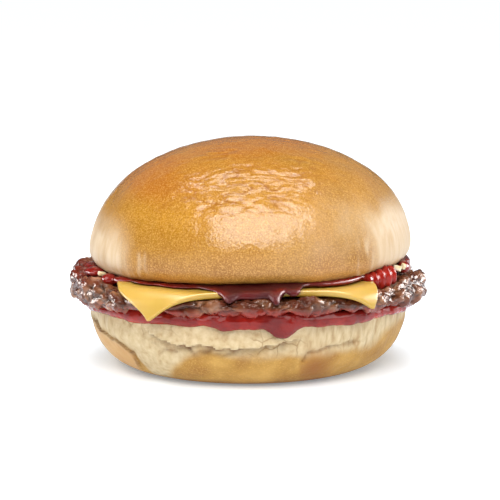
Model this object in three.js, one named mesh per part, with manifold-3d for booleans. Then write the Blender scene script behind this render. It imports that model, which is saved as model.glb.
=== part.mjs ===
// A cheeseburger: a round soft bun cut in two, with ketchup, a grilled beef patty, a slice
// of melted cheese and more ketchup stacked between its halves. Millimetres, +Z up. The
// burger stands on the flat underside of its heel and its front faces -Y.
import * as THREE from "three";
import { mergeVertices } from "three/addons/utils/BufferGeometryUtils.js";
import Module from "manifold-3d";

const wasm = await Module();
wasm.setup();

// Driving sizes
const GAP = 0.3; // air kept between layers that rest on each other
const AROUND = 60; // facets round the bun, the patty and the sauce
const BUN_RADIUS = 50;
const RIGHT_ANGLE = Math.PI / 2;
const WELD = 1e-3; // vertices closer than this are one
const SIMPLIFY = 0.1; // how far facets may be flattened after a cut

// Heel, the lower half of the bun
const HEEL_FOOT_RADIUS = 33; // flat underside
const HEEL_HEIGHT = 21.4;
const HEEL_SIDE_SAG = 1.9; // the cut face is lower at the left and right
const HEEL_SHIFT_X = -0.6;
const HEEL_LOBES = [[3, 0.3, 0.4], [5, 0.25, 2.1], [9, 0.15, 1.3]]; // see ripple
const HEEL_FOLDS = [
  { direction: 222, slant: -18, width: 7, depth: 0.9 },
  { direction: 258, slant: 0, width: 12, depth: 0.5 },
  { direction: 292, slant: 10, width: 8, depth: 0.6 },
]; // soft folds that run down the front of the crust: degrees, and millimetres deep

// Lower layer of ketchup
const LOWER_SAUCE_RADIUS = 51;
const LOWER_SAUCE_DEPTH = 2.3;
const LOWER_SAUCE_LOBES = [[4, 0.5, 1.0], [7, 0.45, 2.6], [11, 0.35, 0.2]];

// Patty
const PATTY_RADIUS = 56.6;
const PATTY_TOP_FRONT = 29.4;
const PATTY_TOP_RISE = 0.9; // from the front edge to the back edge
const PATTY_PRESS = 0.7; // how deep the crown presses it under the two front cheese corners
const PATTY_SHIFT_X = -0.9;
const PATTY_LUMP = 0.8; // how far the ragged edge goes in and out
const PATTY_LOBES = [[5, 0.35, 0.7], [13, 0.3, 1.9], [21, 0.35, 0.3]];
const PATTY_EDGE = [[0.955, 0], [0.985, 0.16], [1, 0.42], [0.995, 0.66], [0.972, 0.86], [0.925, 1]];

// Cheese
const SLICE_SIDE = 72;
const SLICE_THICKNESS = 1.8;
const SLICE_TURN = 6; // degrees, counter-clockwise from above
const SLICE_CENTRE = new THREE.Vector2(-0.5, -14.2);
const SLICE_CELLS = 18;
const BEND_START = 52.3; // distance from the middle at which a corner starts to droop
const BEND_RADIUS = 5;
const BEND_MOST = THREE.MathUtils.degToRad(80);

// Upper layer of ketchup
const UPPER_SAUCE_RADIUS = 45.5;
const UPPER_SAUCE_TOP = 35.2;
const UPPER_SAUCE_LOBES = [[4, 0.6, 0.3], [9, 0.5, 1.1]];

// Crown, the upper half of the bun
const CROWN_RIM_RADIUS = 44; // lowest line, under the belly
const CROWN_RIM_Z = 32.3;
const CROWN_BELLY_Z = 5.3; // widest line, above the rim
const CROWN_HEIGHT = 39.2;
const CROWN_RECESS = 3.4; // how far the filling presses the cut face up inside the rim
const CROWN_RECESS_RADIUS = 39;
const CROWN_ROLL = 1.4; // degrees, right side up
const CROWN_SHIFT_X = 0.5;
const CROWN_LOBES = [[3, 0.25, 1.2], [7, 0.2, 0.5], [12, 0.12, 2]];

// An uneven outline: waves of so many lobes round the piece, each with its height and start
const ripple = (angle, waves) =>
  waves.reduce((sum, [lobes, height, start]) => sum + height * Math.sin(lobes * angle + start), 0);

// A smooth bump, 1 at its middle and near 0 past one width
const bump = (distance, width) => Math.exp(-((distance / width) ** 2));

// The turn in degrees from one direction to another, between -180 and 180
const turnBetween = (angle, degrees) =>
  THREE.MathUtils.euclideanModulo(THREE.MathUtils.radToDeg(angle) - degrees + 180, 360) - 180;

// Quarter of a rounded outline, from straight down to straight out, as (out, up) shares
function roundedQuarter(steps, outPower, upPower) {
  return Array.from({ length: steps + 1 }, (_, i) => {
    const turn = (RIGHT_ANGLE * i) / steps;
    return new THREE.Vector2(Math.sin(turn) ** outPower, 1 - Math.cos(turn) ** upPower);
  });
}

// An outline spun round the Z axis
function spun(outline) {
  return new THREE.LatheGeometry(outline, AROUND).rotateX(RIGHT_ANGLE);
}

// Moves every vertex of a geometry by a function
function reshaped(geometry, move) {
  const points = geometry.getAttribute("position");
  const point = new THREE.Vector3();
  for (let i = 0; i < points.count; i += 1) {
    point.fromBufferAttribute(points, i);
    move(point);
    points.setXYZ(i, point.x, point.y, point.z);
  }
  return geometry;
}

// Moves a point away from the Z axis
function pushed(point, by) {
  const radius = Math.hypot(point.x, point.y);
  const share = radius > 1 ? (radius + by) / radius : 1;
  point.x *= share;
  point.y *= share;
}

// Shares the vertices of a geometry, keeping positions only
function welded(geometry) {
  const bare = geometry.clone();
  bare.deleteAttribute("normal");
  bare.deleteAttribute("uv");
  return mergeVertices(bare, WELD);
}

function solidOf(geometry) {
  const mesh = welded(geometry);
  return new wasm.Manifold(
    new wasm.Mesh({
      numProp: 3,
      vertProperties: mesh.getAttribute("position").array,
      triVerts: new Uint32Array(mesh.index.array),
    }),
  );
}

function geometryOf(solid) {
  const { vertProperties, triVerts } = solid.getMesh();
  return new THREE.BufferGeometry()
    .setAttribute("position", new THREE.BufferAttribute(vertProperties, 3))
    .setIndex(new THREE.BufferAttribute(triVerts, 1));
}

// The same shape with its skin moved out by the gap, to cut a neighbour clear of it
function grown(geometry) {
  const mesh = welded(geometry);
  mesh.computeVertexNormals();
  const normals = mesh.getAttribute("normal");
  const points = mesh.getAttribute("position");
  for (let i = 0; i < points.count; i += 1) {
    points.setX(i, points.getX(i) + GAP * normals.getX(i));
    points.setY(i, points.getY(i) + GAP * normals.getY(i));
    points.setZ(i, points.getZ(i) + GAP * normals.getZ(i));
  }
  return solidOf(mesh);
}

function mainBody(solid) {
  return solid.decompose().sort((a, b) => b.volume() - a.volume())[0];
}

// Parts joined and cut clear of their neighbours
function cutClear(parts, neighbours) {
  const whole = wasm.Manifold.union(parts.map(solidOf));
  return neighbours.reduce((rest, neighbour) => rest.subtract(grown(neighbour)), whole);
}

// Solids joined, without loose slivers. The main body is picked again once its vertices
// are shared, which can pinch a sliver off it.
function oneBody(solids) {
  const body = mainBody(wasm.Manifold.union(solids).simplify(SIMPLIFY));
  return geometryOf(mainBody(solidOf(geometryOf(body))));
}

// A drop of sauce: a ball stretched to three half sizes round a point
function drop(centre, halfSizes) {
  return new THREE.SphereGeometry(1, 16, 10).scale(...halfSizes).translate(...centre);
}

// The heights that the layers share

function heelTop(x) {
  return HEEL_HEIGHT - HEEL_SIDE_SAG * ((x - HEEL_SHIFT_X) / BUN_RADIUS) ** 2;
}

function pattyBottom(x) {
  return heelTop(x) + LOWER_SAUCE_DEPTH + 2 * GAP;
}

function pattyTop(x, y) {
  const angle = Math.atan2(y, x);
  const sideRise = 0.4 * (x / PATTY_RADIUS) ** 2;
  const backRise = (PATTY_TOP_RISE * (y + PATTY_RADIUS)) / (2 * PATTY_RADIUS);
  const corners = bump(turnBetween(angle, 234), 24) + 0.6 * bump(turnBetween(angle, 305), 20);
  const outer = THREE.MathUtils.smoothstep(Math.hypot(x, y), 28, 42);
  return PATTY_TOP_FRONT + sideRise + backRise - PATTY_PRESS * corners * outer;
}

// Pieces, from the bottom up

function heelShape() {
  const side = roundedQuarter(9, 2 / 2.08, 2 / 2.14).map(
    ({ x, y }) =>
      new THREE.Vector2(THREE.MathUtils.lerp(HEEL_FOOT_RADIUS, BUN_RADIUS, x), HEEL_HEIGHT * y),
  );
  const outline = [
    new THREE.Vector2(0, 0),
    ...side,
    new THREE.Vector2(BUN_RADIUS - 1.2, HEEL_HEIGHT),
    new THREE.Vector2(BUN_RADIUS * 0.6, HEEL_HEIGHT),
    new THREE.Vector2(0, HEEL_HEIGHT),
  ];
  return reshaped(spun(outline), (point) => {
    const angle = Math.atan2(point.y, point.x);
    const share = point.z / HEEL_HEIGHT;
    const folds = HEEL_FOLDS.map(
      ({ direction, slant, width, depth }) =>
        depth * bump(turnBetween(angle, direction + slant * (share - 0.5)), width),
    ).reduce((sum, depth) => sum + depth, 0);
    // the outline is uneven at the top, and the folds are deepest half way up
    pushed(point, ripple(angle, HEEL_LOBES) * share - folds * Math.sin(Math.PI * share));
    point.x += HEEL_SHIFT_X;
    point.z *= heelTop(point.x) / HEEL_HEIGHT;
  });
}

function lowerSauceShape(heel, patty) {
  const layer = spun([
    new THREE.Vector2(0, 0),
    new THREE.Vector2(0.6, 0),
    new THREE.Vector2(0.97, 0),
    new THREE.Vector2(1, 0.45),
    new THREE.Vector2(0.98, 1),
    new THREE.Vector2(0.6, 1),
    new THREE.Vector2(0, 1),
  ]);
  reshaped(layer, (point) => {
    const angle = Math.atan2(point.y, point.x);
    const radius = LOWER_SAUCE_RADIUS + ripple(angle, LOWER_SAUCE_LOBES);
    point.x *= radius;
    point.y *= radius;
    point.z = heelTop(point.x) + GAP + point.z * LOWER_SAUCE_DEPTH;
  });
  // what is squeezed out over the front edge: two drips and a low roll at the left
  const bigDrip = drop([9.4, -50.4, 20.6], [6.4, 2.0, 3.1]);
  const smallDrip = drop([-6.8, -50.6, 21.6], [5.0, 1.6, 2.1]);
  const leftRoll = drop([-26, -43.8, 21.8], [9, 1.6, 1.5]);
  return oneBody([solidOf(layer), cutClear([bigDrip, smallDrip, leftRoll], [heel, patty])]);
}

function pattyShape() {
  const outline = [
    new THREE.Vector2(0, 0),
    new THREE.Vector2(0.6, 0),
    ...PATTY_EDGE.map(([out, up]) => new THREE.Vector2(out, up)),
    new THREE.Vector2(0.6, 1),
    new THREE.Vector2(0, 1),
  ];
  return reshaped(spun(outline), (point) => {
    const angle = Math.atan2(point.y, point.x);
    // the edge of minced beef is ragged: lumps that change with height, never past the radius
    const lumps = ripple(angle + 0.5 * point.z, PATTY_LOBES);
    const reach = PATTY_RADIUS - PATTY_LUMP + PATTY_LUMP * lumps;
    point.x = point.x * reach + PATTY_SHIFT_X;
    point.y *= reach;
    point.z = THREE.MathUtils.lerp(pattyBottom(point.x), pattyTop(point.x, point.y), point.z);
  });
}

// Lays a point of the flat slice, at its height in the slice, over the patty and its edge
function draped(point) {
  const reach = Math.hypot(point.x, point.y);
  const lift = point.z;
  const over = Math.max(0, reach - BEND_START);
  const bend = Math.min(over / BEND_RADIUS, BEND_MOST);
  const hang = Math.max(0, over - BEND_RADIUS * BEND_MOST);
  const out =
    Math.min(reach, BEND_START) +
    (BEND_RADIUS + lift) * Math.sin(bend) +
    hang * Math.cos(BEND_MOST);
  const fall = BEND_RADIUS * (1 - Math.cos(bend)) + hang * Math.sin(BEND_MOST);
  const under = pattyTop(point.x, point.y) + GAP;
  point.x *= out / Math.max(reach, 1e-6);
  point.y *= out / Math.max(reach, 1e-6);
  point.z = under - fall + lift * Math.cos(bend);
}

function cheeseShape(crown) {
  const slice = new THREE.BoxGeometry(
    SLICE_SIDE,
    SLICE_SIDE,
    SLICE_THICKNESS,
    SLICE_CELLS,
    SLICE_CELLS,
    1,
  )
    .translate(0, 0, SLICE_THICKNESS / 2)
    .rotateZ(THREE.MathUtils.degToRad(SLICE_TURN))
    .translate(SLICE_CENTRE.x, SLICE_CENTRE.y, 0);
  return oneBody([cutClear([reshaped(slice, draped)], [crown])]);
}

function upperSauceShape(patty, cheese, crown) {
  const layer = spun([
    new THREE.Vector2(0, 0),
    new THREE.Vector2(0.7, 0),
    new THREE.Vector2(1, 0),
    new THREE.Vector2(1, 1),
    new THREE.Vector2(0.7, 1),
    new THREE.Vector2(0, 1),
  ]);
  reshaped(layer, (point) => {
    const angle = Math.atan2(point.y, point.x);
    const radius = UPPER_SAUCE_RADIUS + ripple(angle, UPPER_SAUCE_LOBES);
    point.x *= radius;
    point.y *= radius;
    const low = pattyTop(point.x, point.y) + GAP;
    point.z = THREE.MathUtils.lerp(low, UPPER_SAUCE_TOP, point.z);
  });
  // what is squeezed out: a roll over the front edge of the cheese with two tongues that run
  // down the edge of the patty, and blobs at the left and the right
  const frontRoll = drop([1.5, -47, 30.9], [14.5, 6.2, 1.75]);
  const leftTongue = drop([-3.7, -53, 30], [2.6, 4.2, 1.9]);
  const rightTongue = drop([8.1, -53, 29.9], [2.2, 4.4, 1.9]);
  const leftBlob = drop([-41.5, -27.5, 30.6], [4.6, 3.2, 1.7]);
  const leftBackBlob = drop([-46.5, -10, 31], [3.2, 6.2, 1.7]);
  const rightBlob = drop([37.5, -31, 32.6], [4.8, 3.4, 2.6]);
  const rightBackBlob = drop([47.5, -14, 31.6], [2.8, 4, 2]);
  const spills = [frontRoll, leftTongue, rightTongue, leftBlob, leftBackBlob, rightBlob, rightBackBlob];
  return oneBody([cutClear([layer], [cheese, crown]), cutClear(spills, [patty, cheese, crown])]);
}

function crownShape() {
  const belly = roundedQuarter(4, 2 / 1.49, 2 / 1.49).map(
    ({ x, y }) =>
      new THREE.Vector2(THREE.MathUtils.lerp(CROWN_RIM_RADIUS, BUN_RADIUS, x), CROWN_BELLY_Z * y),
  );
  const dome = roundedQuarter(11, 2 / 2.01, 2 / 2.13)
    .map(
      ({ x, y }) =>
        new THREE.Vector2(BUN_RADIUS * x, CROWN_HEIGHT - (CROWN_HEIGHT - CROWN_BELLY_Z) * y),
    )
    .reverse();
  const outline = [
    new THREE.Vector2(0, CROWN_RECESS),
    new THREE.Vector2(CROWN_RECESS_RADIUS, CROWN_RECESS),
    new THREE.Vector2(CROWN_RIM_RADIUS - 1.8, 0.5),
    ...belly,
    ...dome.slice(1),
  ];
  return reshaped(spun(outline), (point) => {
    const angle = Math.atan2(point.y, point.x);
    const outer = THREE.MathUtils.smoothstep(Math.hypot(point.x, point.y), 20, CROWN_RIM_RADIUS);
    // the rim lifts a little at the front and sinks to the right of it
    const low = 1 - THREE.MathUtils.smoothstep(point.z, 0, 12);
    const lift = 0.4 * bump(turnBetween(angle, 258), 22) - 0.5 * bump(turnBetween(angle, 302), 14);
    pushed(point, outer * ripple(angle, CROWN_LOBES));
    point.z += outer * low * lift;
  })
    .rotateY(-THREE.MathUtils.degToRad(CROWN_ROLL))
    .translate(CROWN_SHIFT_X, 0, CROWN_RIM_Z);
}

// Materials

const matte = (color, roughness) =>
  new THREE.MeshStandardMaterial({ color, roughness, metalness: 0 });

const crownCrust = () => matte("#dba35b", 0.35);
const heelBread = () => matte("#d9b47c", 0.75);
const grilledBeef = () => matte("#6b4231", 0.45);
const meltedCheese = () => matte("#f2c55c", 0.35);
const ketchup = () => matte("#8c1f15", 0.2);

function piece(name, geometry, material) {
  const mesh = new THREE.Mesh(geometry, material);
  mesh.name = name;
  return mesh;
}

const heel = heelShape();
const patty = pattyShape();
const crown = crownShape();
const cheese = cheeseShape(crown);

const burger = new THREE.Group();
burger.add(piece("heel", heel, heelBread()));
burger.add(piece("ketchup_lower", lowerSauceShape(heel, patty), ketchup()));
burger.add(piece("patty", patty, grilledBeef()));
burger.add(piece("cheese", cheese, meltedCheese()));
burger.add(piece("ketchup_upper", upperSauceShape(patty, cheese, crown), ketchup()));
burger.add(piece("crown", crown, crownCrust()));

// The origin is the middle of the bounding box, at its foot
const box = new THREE.Box3().setFromObject(burger);
const middle = box.getCenter(new THREE.Vector3());
burger.position.set(-middle.x, -middle.y, -box.min.z);

export default burger;
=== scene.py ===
import math

import bpy
import numpy as np
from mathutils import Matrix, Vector, noise


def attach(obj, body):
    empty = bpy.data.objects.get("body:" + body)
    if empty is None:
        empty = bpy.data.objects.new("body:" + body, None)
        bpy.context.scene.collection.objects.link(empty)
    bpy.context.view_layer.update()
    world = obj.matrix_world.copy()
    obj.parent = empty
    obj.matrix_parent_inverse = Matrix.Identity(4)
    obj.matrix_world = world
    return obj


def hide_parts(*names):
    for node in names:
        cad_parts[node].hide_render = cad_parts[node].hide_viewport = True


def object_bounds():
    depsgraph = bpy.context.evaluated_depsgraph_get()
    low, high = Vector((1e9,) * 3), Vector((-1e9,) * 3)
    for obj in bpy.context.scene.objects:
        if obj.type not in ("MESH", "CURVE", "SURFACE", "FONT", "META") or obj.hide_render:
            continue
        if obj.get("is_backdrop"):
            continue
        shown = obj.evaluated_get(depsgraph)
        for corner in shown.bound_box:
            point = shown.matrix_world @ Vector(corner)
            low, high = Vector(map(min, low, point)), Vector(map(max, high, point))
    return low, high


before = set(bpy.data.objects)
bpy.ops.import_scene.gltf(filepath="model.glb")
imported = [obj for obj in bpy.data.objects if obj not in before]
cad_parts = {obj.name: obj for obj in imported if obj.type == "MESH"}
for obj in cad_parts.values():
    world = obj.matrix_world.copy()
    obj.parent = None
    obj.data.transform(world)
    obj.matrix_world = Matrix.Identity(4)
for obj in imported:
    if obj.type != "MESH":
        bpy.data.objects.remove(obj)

cad_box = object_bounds()


# ---- Heel ----
# The lower half of the bun: wheat bread, baked on a tray and sliced through. Its flat foot and
# lower flank have a thin golden crust; above that the side tore open when it was cut and shows
# pale crumb, with a flap folded down over the front.

MM = 0.001
# The burger's own axis, in millimetres from the origin. All sizes are in millimetres too.
STACK_X = 0.95
STACK_Y = 0.8
HEEL_RADIUS = 50
HEEL_FOOT = 33
HEEL_HEIGHT = 21.4
HEEL_SIDE_SAG = 1.9
HEEL_X = STACK_X - 0.6


def rounded_quarter(steps, out_power, up_power):
    """A quarter of a rounded outline from straight down to straight out, as (out, up) shares."""
    turns = np.linspace(0, math.pi / 2, steps + 1)
    outs = np.sin(turns) ** out_power
    ups = 1 - np.abs(np.cos(turns)) ** up_power
    return list(zip(outs, ups))


def stacked_rings(name, outline, around):
    """A round body drawn up ring by ring; outline is (radius, height) in millimetres."""
    radius, height = outline[0]
    bpy.ops.mesh.primitive_circle_add(
        vertices=around, radius=radius * MM, fill_type="NGON", location=(0, 0, 0)
    )
    body = bpy.context.object
    body.name = name
    bpy.ops.object.mode_set(mode="EDIT")
    bpy.ops.mesh.select_all(action="SELECT")
    bpy.ops.transform.translate(value=(0, 0, height * MM))
    for next_radius, next_height in outline[1:]:
        rise = (next_height - height) * MM
        share = next_radius / radius
        bpy.ops.mesh.extrude_region_move(TRANSFORM_OT_translate={"value": (0, 0, rise)})
        bpy.ops.transform.resize(value=(share, share, 1), center_override=(0, 0, 0))
        radius, height = next_radius, next_height
    bpy.ops.mesh.select_all(action="SELECT")
    bpy.ops.mesh.normals_make_consistent(inside=False)
    bpy.ops.object.mode_set(mode="OBJECT")
    return body


def finish_with(piece, kind, **settings):
    """Adds a modifier of a kind, gives it its settings and applies it."""
    modifier = piece.modifiers.new(kind.title(), kind)
    for setting, value in settings.items():
        setattr(modifier, setting, value)
    bpy.context.view_layer.objects.active = piece
    bpy.ops.object.modifier_apply(modifier=modifier.name)


def points_of(piece):
    """The points of a piece in millimetres, one row each."""
    places = np.empty(len(piece.data.vertices) * 3)
    piece.data.vertices.foreach_get("co", places)
    return places.reshape(-1, 3) / MM


def normals_of(piece):
    """The outward direction at each point."""
    directions = np.empty(len(piece.data.vertices) * 3)
    piece.data.vertices.foreach_get("normal", directions)
    return directions.reshape(-1, 3)


def place_points(piece, places):
    """Moves the points of a piece to places in millimetres."""
    piece.data.vertices.foreach_set("co", (places * MM).ravel())
    piece.data.update()


def polar(places):
    """The angle in radians and the radius of each point about the upright axis."""
    return np.arctan2(places[:, 1], places[:, 0]), np.hypot(places[:, 0], places[:, 1])


def set_radius(places, new_radius, x=0, y=0):
    """Moves points out or in to a new radius about the upright axis, then the axis to (x, y)."""
    radius = np.hypot(places[:, 0], places[:, 1])
    places[:, :2] *= (new_radius / np.maximum(radius, 1))[:, None]
    places[:, 0] += x
    places[:, 1] += y


def keep_values(piece, attribute, values):
    """Writes one number a point, for a material to read."""
    layer = piece.data.attributes.new(attribute, "FLOAT", "POINT")
    layer.data.foreach_set("value", np.asarray(values, dtype=np.float32))


def grain(places, size, seed=0.0, stretch=(1, 1, 1)):
    """Smooth random heights, about -1 to 1, with lumps of a size in millimetres."""
    scaled = places * np.array(stretch) / size + np.array((seed, seed * 1.7, -seed))
    return np.array([noise.noise(Vector(place)) for place in scaled])


def ripple(angle, lobes):
    """Waves of so many lobes round a piece, each with its height and start."""
    return sum(height * np.sin(count * angle + start) for count, height, start in lobes)


def bump(distance, width):
    """1 at the middle and near 0 past one width."""
    return np.exp(-((distance / width) ** 2))


def smooth_step(value, low, high):
    """0 below low and 1 above high, with an S-shaped rise between them."""
    share = np.clip((value - low) / (high - low), 0, 1)
    return share * share * (3 - 2 * share)


def away_from(route, across, up):
    """Distance of front-view points from a route, and on which side of it (+1 above) they lie."""
    best = np.full(across.shape, 1e9)
    side = np.zeros(across.shape)
    for (x0, z0), (x1, z1) in zip(route, route[1:]):
        dx, dz = x1 - x0, z1 - z0
        along = np.clip(((across - x0) * dx + (up - z0) * dz) / (dx * dx + dz * dz), 0, 1)
        off_x = across - x0 - along * dx
        off_z = up - z0 - along * dz
        distance = np.hypot(off_x, off_z)
        nearer = distance < best
        best = np.where(nearer, distance, best)
        side = np.where(nearer, np.sign(off_z * dx - off_x * dz), side)
    return best, side


def heel_top(x):
    """Height of the cut face, which sags towards both sides."""
    return HEEL_HEIGHT - HEEL_SIDE_SAG * ((x - HEEL_X) / HEEL_RADIUS) ** 2


# the flat foot, the rounded side, the small lip at the cut and the cut face
heel_outline = [(3, 0), (14, 0), (24, 0), (30, 0)]
heel_outline += [
    (HEEL_FOOT + (HEEL_RADIUS - HEEL_FOOT) * out, HEEL_HEIGHT * up)
    for out, up in rounded_quarter(64, 2 / 2.08, 2 / 2.14)
]
heel_outline += [(49.7, 21.45), (49.3, 21.5)]
heel_outline += [(cut_radius, HEEL_HEIGHT) for cut_radius in (48.6, 46, 36, 18, 3)]
heel = stacked_rings("heel_bread", heel_outline, around=540)

# Where the torn crumb ends and the crust begins: direction in degrees, height in millimetres.
# In the front left the tear runs down to the foot.
TEAR_HEIGHTS = [
    (0, 17.5), (40, 14), (90, 12), (150, 13), (180, 17), (199, 16.5), (210, 13.9), (219, 12),
    (223.5, 9.5), (225.5, 1), (234, 1), (240, 5), (247, 9.6), (256, 12), (270, 12), (285, 12.4),
    (302, 10.6), (316, 11.8), (330, 14.6), (342, 16.8), (360, 17.5),
]
# Routes across the front, as (across, up): the flap's lower edge, the tear at the left, and creases.
FLAP_EDGE = [(-31, 18.6), (-26, 16.4), (-21.5, 14.4), (-17, 14.0), (-13.6, 14.7), (-5, 13.4),
             (0, 14.1), (3, 14.0), (10.7, 15.4), (16, 16.8)]
LEFT_TEAR = [(-48.8, 18.6), (-46.5, 16.3), (-42.3, 13.7), (-37.6, 11.7), (-34.4, 9.2),
             (-32.9, 6.6), (-32.4, 4.4)]
RIGHT_CREASE = [(17.3, 9.6), (18.4, 11.4), (22.7, 12.4), (27.5, 12.9), (33, 13.6)]
SMALL_CREASES = [
    [(-28.4, 14.4), (-26.6, 13.6), (-25.2, 12.2), (-25.8, 10.4)],
    [(-24.6, 12.6), (-22.4, 11.9), (-20.6, 11.6)],
    [(-17.6, 14.2), (-16.2, 12.6), (-15.2, 10.8)],
    [(-14.6, 11.6), (-12.8, 12.6), (-11, 12.9)],
    [(-9.2, 11.8), (-7, 11.2), (-5.2, 11.8)],
]

places = points_of(heel)
x, y, z = places.T
across = x + HEEL_X
angle, radius = polar(places)
direction = np.degrees(angle) % 360
share = z / HEEL_HEIGHT
side = smooth_step(radius, 34, 40)
tear = np.interp(direction, *zip(*TEAR_HEIGHTS))
wander = 1.0 * grain(places, 5, 3.0) + 2.4 * grain(places, 13, 17.0)
# the tear keeps to its route only where it drops to the foot, at the front left
tear = tear + wander * np.where(np.abs(direction - 215) < 22, 0.1, 1)
softness = 2.2 + 0.8 * grain(places, 6, 11.0)
crumb = smooth_step(z, tear - softness, tear + softness)
front = smooth_step(-y, 4, 16)
# torn edges wander a little either side of their routes
torn_x = across + 0.9 * grain(places, 3.5, 21.0) + 0.4 * grain(places, 1.4, 22.0)
torn_z = z + 0.9 * grain(places, 3.5, 23.0) + 0.4 * grain(places, 1.4, 24.0)
flap_distance, flap_side = away_from(FLAP_EDGE, torn_x, torn_z)
flap_reach = smooth_step(across, -33, -25) * (1 - smooth_step(across, 8, 22)) * front
left_distance, left_side = away_from(LEFT_TEAR, torn_x, torn_z)
right_distance, right_side = away_from(RIGHT_CREASE, torn_x, torn_z)

# how far each point stands out: the bun isn't quite round, and the torn crumb is rough, with
# streaks that run upwards, but hardly any at the front, left of its right third
out = ripple(angle, [(3, 0.3, 0.4), (5, 0.25, 2.1), (9, 0.15, 1.3)]) * share
out += 0.45 * grain(places, 9, 1.0)
streaked = 1 - 0.75 * smooth_step(-y, 20, 38) * smooth_step(-across, -24, -12)
out += 0.7 * crumb * grain(places, 4.6, 2.0, (1, 1, 0.7))
out += 0.26 * crumb * streaked * grain(places, 1.5, 5.0, (1, 1, 0.3))
out += 0.16 * crumb * (1 - streaked) * grain(places, 1.7, 5.0)
out += 0.13 * (1 - crumb) * grain(places, 2.2, 4.0)
# the flap stands proud above its edge and casts a fold below it
above = flap_side > 0
out += flap_reach * np.where(above, 1.4 * bump(flap_distance, 4.5), -1.3 * bump(flap_distance, 2.0))
# the crust at the left laps over the tear
out += front * np.where(left_side > 0, -0.6 * bump(left_distance, 1.8), 0.25 * bump(left_distance, 1.5))
# a puff of crumb above the left tear, and the crust folded in under the crease at the right
out += 0.9 * front * bump(np.hypot((across + 37.5) / 4.5, (z - 15.2) / 3.4), 1)
out -= 0.8 * front * bump(right_distance, 0.9)
out += 0.5 * front * np.where(right_side > 0, 0, bump(right_distance, 4))
# painted shade: dark lines in the creases and soft shade beside them, and a painted shadow under the flap's
# edge
crease_shade = 0.62 * front * bump(left_distance, 0.3) + 0.6 * front * bump(right_distance, 0.45)
crease_shade += 0.14 * front * bump(left_distance, 1.8)
crease_shade += 0.75 * flap_reach * np.where(above, 0, bump(flap_distance, 0.7))
crease_shade += 0.22 * flap_reach * np.where(above, 0, bump(flap_distance, 3.5))
# each small crease sinks in and gets a dark line of painted shade
for route in SMALL_CREASES:
    crease_distance, _ = away_from(route, torn_x, torn_z)
    out -= 0.55 * front * bump(crease_distance, 0.6)
    crease_shade += 0.4 * front * bump(crease_distance, 0.4)
out *= side * smooth_step(z, 0.2, 4)
set_radius(places, radius + out, HEEL_X, STACK_Y)
z *= heel_top(x) / HEEL_HEIGHT
place_points(heel, places)
keep_values(heel, "crumb", crumb)
# browner crust in a patch at the front right, and darker round the very bottom of the foot
patch = bump((across - 20.5) / 5.2, 1) * bump((z - 6) / 5.5, 1) * front
patch *= smooth_step(across, 15.5, 16.6)
# painted shade in the creases and under the flap, for the material to darken
keep_values(heel, "crease_shade", np.clip(crease_shade * side * (0.75 + 0.8 * grain(places, 3, 6.0)), 0, 1))
keep_values(heel, "brown", np.clip(patch + 0.7 * (1 - smooth_step(z, 0.6, 2.6)), 0, 1))
keep_values(heel, "streaked", streaked)
keep_values(heel, "left_crust", np.where(left_side > 0, 0, 1) * smooth_step(-across, 26, 34) * front)


def linear(hex_colour):
    """An sRGB hex colour as the linear RGBA that a shader socket takes."""
    parts = [int(hex_colour[i:i + 2], 16) / 255 for i in (1, 3, 5)]
    return [p / 12.92 if p <= 0.04045 else ((p + 0.055) / 1.055) ** 2.4 for p in parts] + [1]


def new_material(name):
    material = bpy.data.materials.new(name)
    material.use_nodes = True
    material.node_tree.nodes.clear()
    return material


def add_node(material, kind, inputs=None, stops=None, **settings):
    """Adds a node: inputs are constants or output sockets by input name or number; stops are
    the (place, hex colour) pairs of a colour ramp."""
    tree = material.node_tree
    made = tree.nodes.new(kind)
    for setting, value in settings.items():
        setattr(made, setting, value)
    for key, value in (inputs or {}).items():
        if isinstance(value, bpy.types.NodeSocket):
            tree.links.new(value, made.inputs[key])
        else:
            made.inputs[key].default_value = value
    for i, (place, colour) in enumerate(stops or []):
        elements = made.color_ramp.elements
        element = elements[i] if i < 2 else elements.new(place)
        element.position = place
        element.color = linear(colour)
    return made


def lumps(size):
    """The Scale that draws a pattern with lumps of a size in millimetres."""
    return 1 / (size * MM)


def use_material(piece, material):
    """Gives a piece its one material, smooth shaded."""
    piece.data.materials.clear()
    piece.data.materials.append(material)
    piece.data.shade_smooth()


# Baked bread, crust and crumb: the crust is satin and blotched gold with light specks, the crumb
# is dry, pale and open, drawn out upwards where the side tore. Most of its pores are under half
# a millimetre, too fine to show, so they are drawn 1.4 to 2 mm wide.
bread = new_material("baked_bread_heel")
spot = add_node(bread, "ShaderNodeTexCoord").outputs["Object"]
crumb_value, crease_shade_value, left_value, streak_value, brown_value = (
    add_node(bread, "ShaderNodeAttribute", attribute_name=attribute).outputs["Fac"]
    for attribute in ("crumb", "crease_shade", "left_crust", "streaked", "brown")
)
blotch, broad, fine, round_pores, speckle = (
    add_node(bread, "ShaderNodeTexNoise", {"Vector": spot, "Scale": lumps(size), "Detail": detail})
    for size, detail in ((11.11, 4), (16.67, 2), (1.429, 3), (1.923, 5), (0.5263, 2))
)
drawn = add_node(bread, "ShaderNodeMapping", {"Vector": spot, "Scale": (1, 1, 0.2)})
long_pores = add_node(
    bread, "ShaderNodeTexNoise", {"Vector": drawn.outputs[0], "Scale": lumps(1.429), "Detail": 4}
)
pores = add_node(
    bread, "ShaderNodeMix",
    {"Factor": streak_value, 2: round_pores.outputs["Fac"], 3: long_pores.outputs["Fac"]},
)
crust_tone = add_node(
    bread, "ShaderNodeValToRGB", {"Fac": blotch.outputs["Fac"]},
    stops=[(0.3, "#97672a"), (0.66, "#c1954b"), (0.5, "#ae823b")],
)
speckle_share = add_node(
    bread, "ShaderNodeMapRange", {"Value": speckle.outputs["Fac"], 1: 0.5, 2: 0.7, 3: 0.0, 4: 0.45}
)
speckled = add_node(
    bread, "ShaderNodeMix",
    {"Factor": speckle_share.outputs[0], 6: crust_tone.outputs[0], 7: linear("#d2a456")},
    data_type="RGBA",
)
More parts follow.
